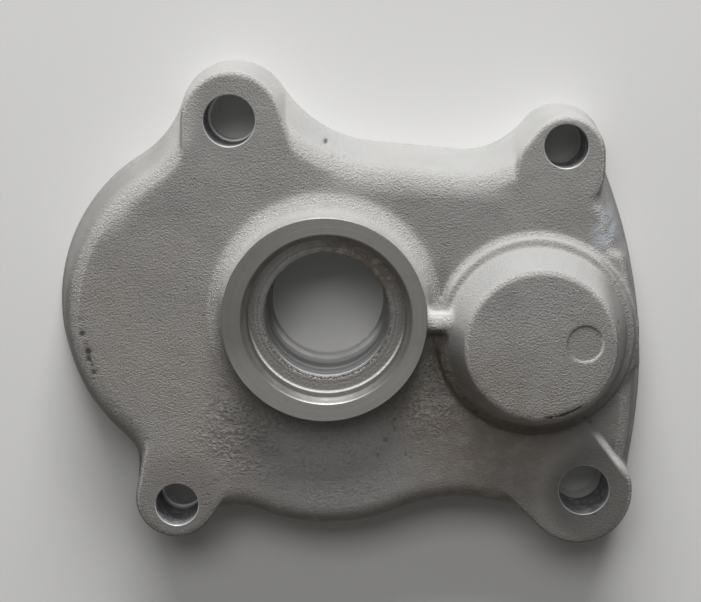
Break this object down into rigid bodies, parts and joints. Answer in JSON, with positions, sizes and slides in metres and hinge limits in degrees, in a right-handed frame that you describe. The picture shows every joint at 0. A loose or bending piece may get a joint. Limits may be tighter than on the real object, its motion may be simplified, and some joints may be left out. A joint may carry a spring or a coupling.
{
  "type": "die cast housing",
  "caption": "Die cast aluminium gear housing with bolt ears, a through bore in a machined boss, a closed cone boss joined to it by a short web, and a hollow back.",
  "frame": {"origin": "on the axis of the main bore, in the plane of the joint face that the housing lies on", "axes": "+Z out of the front along the main bore, +X towards the closed boss's side, +Y towards the side with the two upper ears"},
  "size_m": [0.155, 0.1265, 0.039],
  "materials": {
    "cast_aluminium": "sand grained die casting, machined bright in the bores and on the boss's ring face"
  },
  "bodies": {
    "root": {"housing": "cast_aluminium"}
  },
  "joints": []
}
